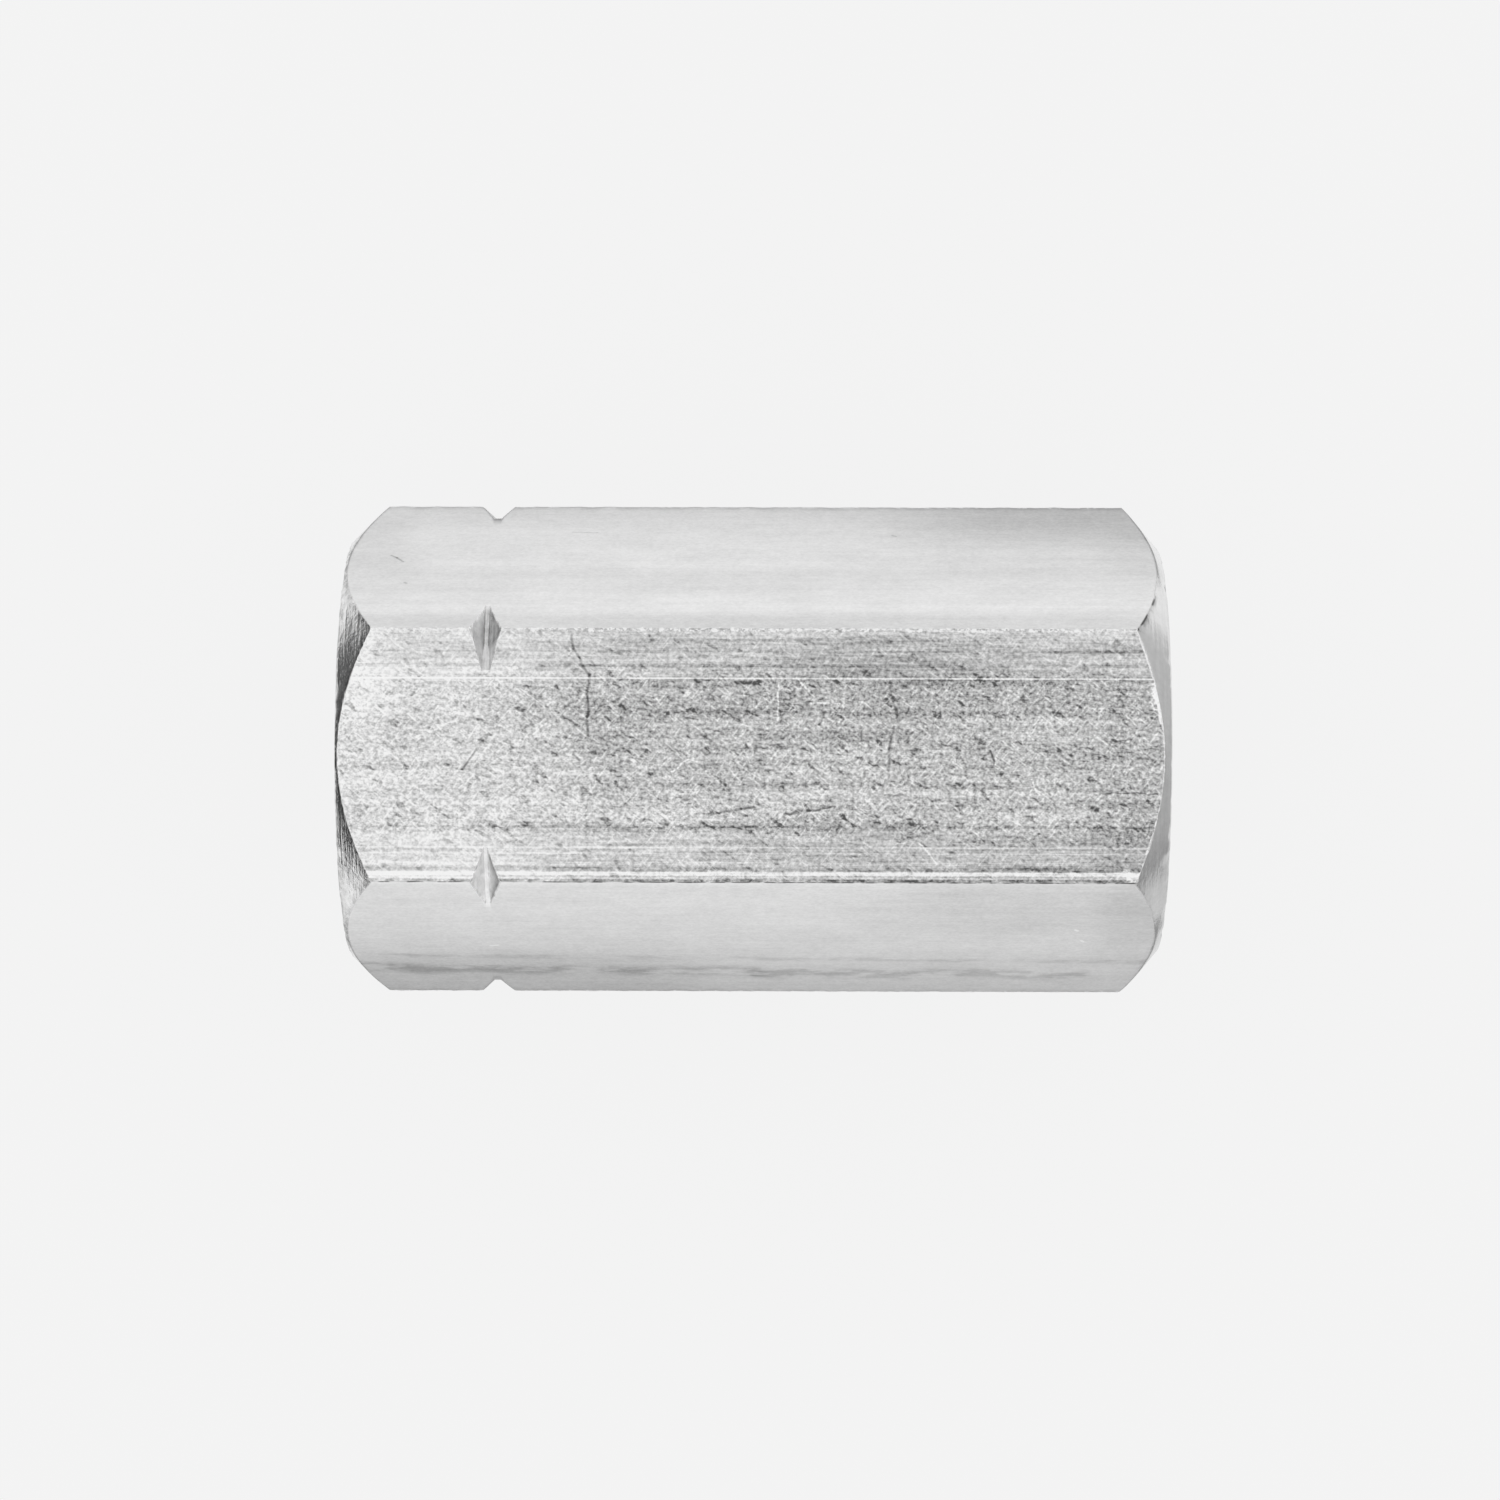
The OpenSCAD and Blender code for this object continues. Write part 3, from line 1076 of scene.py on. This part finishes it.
# Studio levels, where 1 is white. The floor's and the walls' level falls to the ceiling's between
# two heights, as the upward part of a direction
PALE = 0.906
CEILING = 0.86
WALLS_TO = 0.2
CEILING_FROM = 0.85
# How much of the floor glows by itself, and how far it reaches, in metres
FLOOR_GLOW = 0.92
FLOOR_REACH = 3.0

# Softboxes: azimuth, elevation, width, height and radiance. They add to the room behind them, so
# they stay weak: a flat that mirrors one keeps its tone
SOFTBOX_DISTANCE = 0.6
SOFTBOXES = (
    ("softbox_up", 90, 38, 0.6, 0.28, 0.16),
    ("softbox_down", -90, 38, 0.6, 0.28, 0.14),
    ("softbox_left", 180, 52, 0.28, 0.4, 0.16),
    ("softbox_right", 0, 45, 0.28, 0.4, 0.14),
)
# The cards lie and stand just over the floor
CARD_LIFT = 0.05


def make_world():
    """A pale room: the walls are as bright as the floor, and the ceiling is a little greyer."""
    world = bpy.data.worlds.new("studio")
    bpy.context.scene.world = world
    world.use_nodes = True
    tree = world.node_tree
    back = tree.nodes["Background"]
    place = tree.nodes.new("ShaderNodeTexCoord")
    split = tree.nodes.new("ShaderNodeSeparateXYZ")
    tree.links.new(place.outputs["Generated"], split.inputs[0])
    level = tree.nodes.new("ShaderNodeMapRange")
    level.inputs["From Min"].default_value = WALLS_TO
    level.inputs["From Max"].default_value = CEILING_FROM
    level.inputs["To Min"].default_value = PALE
    level.inputs["To Max"].default_value = CEILING
    tree.links.new(split.outputs["Z"], level.inputs["Value"])
    tree.links.new(level.outputs[0], back.inputs["Color"])


def aim(obj, azimuth, elevation, distance):
    """Puts obj that far away, with its -Z side turned to the origin. Azimuth 0 is +X and 90 is +Y."""
    a, e = math.radians(azimuth), math.radians(elevation)
    out = Vector((math.cos(a) * math.cos(e), math.sin(a) * math.cos(e), math.sin(e)))
    obj.location = out * distance
    obj.rotation_mode = "QUATERNION"
    obj.rotation_quaternion = out.to_track_quat("Z", "Y")


def softbox(name, azimuth, elevation, width, height, radiance):
    data = bpy.data.lights.new(name, "AREA")
    data.shape = "RECTANGLE"
    data.size = width
    data.size_y = height
    data.energy = radiance * math.pi * width * height
    lamp = bpy.data.objects.new(name, data)
    bpy.context.scene.collection.objects.link(lamp)
    aim(lamp, azimuth, elevation, SOFTBOX_DISTANCE)


def sheet(name, corners):
    """A flat sheet between four corners, in metres."""
    mesh = bpy.data.meshes.new(name)
    mesh.from_pydata(corners, [], [(0, 1, 2, 3)])
    obj = bpy.data.objects.new(name, mesh)
    bpy.context.scene.collection.objects.link(obj)
    return obj


def card(name, corners, tone, far_tone=None):
    """A card beside the nut that only reflections show, as a studio uses to shade bright metal; the two shade
    cards are a painted shadow of the nut on the floor.

    Its tone may run from tone at its lowest y to far_tone at its highest.
    """
    obj = sheet(name, [Vector(corner) * MM for corner in corners])
    material = bpy.data.materials.new(name)
    material.use_nodes = True
    tree = material.node_tree
    tree.nodes.remove(tree.nodes["Principled BSDF"])
    glow = tree.nodes.new("ShaderNodeEmission")
    glow.inputs["Color"].default_value = (tone, tone, tone, 1)
    if far_tone is not None:
        place = tree.nodes.new("ShaderNodeTexCoord")
        split = tree.nodes.new("ShaderNodeSeparateXYZ")
        level = tree.nodes.new("ShaderNodeMapRange")
        reach = (corners[0][1] * MM, corners[2][1] * MM, tone, far_tone)
        for socket, value in zip(level.inputs[1:5], reach):
            socket.default_value = value
        tree.links.new(place.outputs["Object"], split.inputs[0])
        tree.links.new(split.outputs["Y"], level.inputs["Value"])
        tree.links.new(level.outputs[0], glow.inputs["Color"])
    tree.links.new(glow.outputs[0], tree.nodes["Material Output"].inputs["Surface"])
    obj.data.materials.append(material)
    obj.visible_camera = False
    obj.visible_diffuse = False
    obj.visible_shadow = False


def floor_card(name, x0, x1, y0, y1, tone, far_tone=None):
    z = -APOTHEM + CARD_LIFT
    card(name, [(x0, y0, z), (x1, y0, z), (x1, y1, z), (x0, y1, z)], tone, far_tone)


def standing_card(name, x, y0, y1, top, tone):
    z = -APOTHEM + CARD_LIFT
    card(name, [(x, y0, z), (x, y1, z), (x, y1, top), (x, y0, top)], tone)


def make_lights():
    for box in SOFTBOXES:
        softbox(*box)
    floor_card("card_floor_left_up", -300, -52, 0, 150, 0.11)
    floor_card("card_floor_left_down", -300, -63, -150, 0, 0.05)
    standing_card("card_left", -300, -150, 150, 60, 0.06)
    floor_card("card_floor_right", 46, 300, -44, 34, 0.40, 0.62)
    standing_card("card_right", 300, -100, 100, 40, 0.40)
    # Painted shadow: grey cards on the floor beside the nut, standing in for its own shadow there, seen only
    # in reflections
    floor_card("card_shade_up", -30, 30, 14, 26.5, 0.42)
    floor_card("card_shade_down", -30, 30, -27.5, -14, 0.42)


def make_floor():
    """Pale paper. It glows a little, which keeps it even, and it still takes the nut's shadow."""
    z = node_low[2]
    far = FLOOR_REACH
    floor = sheet("floor", [(-far, -far, z), (far, -far, z), (far, far, z), (-far, far, z)])
    g = Graph("floor_paper")
    g.shader.inputs["Base Color"].default_value = (PALE, PALE, PALE, 1)
    g.shader.inputs["Roughness"].default_value = 1.0
    g.shader.inputs["Specular IOR Level"].default_value = 0.0
    glow = g.tree.nodes.new("ShaderNodeEmission")
    glow.inputs["Color"].default_value = (PALE, PALE, PALE, 1)
    path = g.tree.nodes.new("ShaderNodeLightPath")
    seen = g.math("MAXIMUM", path.outputs["Is Camera Ray"], path.outputs["Is Glossy Ray"])
    seen = g.math("MAXIMUM", seen, path.outputs["Is Transmission Ray"])
    mix = g.tree.nodes.new("ShaderNodeMixShader")
    g.put(mix.inputs[0], g.math("MULTIPLY", seen, FLOOR_GLOW))
    g.put(mix.inputs[1], g.shader.outputs[0])
    g.put(mix.inputs[2], glow.outputs[0])
    g.put(g.tree.nodes["Material Output"].inputs["Surface"], mix.outputs[0])
    floor.data.materials.append(g.material)


scene = bpy.context.scene
scene.view_settings.view_transform = "Standard"
make_camera()
make_world()
make_lights()
make_floor()
nut = build_nut()
for make_material in (drawn_steel, rubbed_steel, turned_steel, thread_steel):
    nut.data.materials.append(make_material())
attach(nut, "root")
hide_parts(NODE)
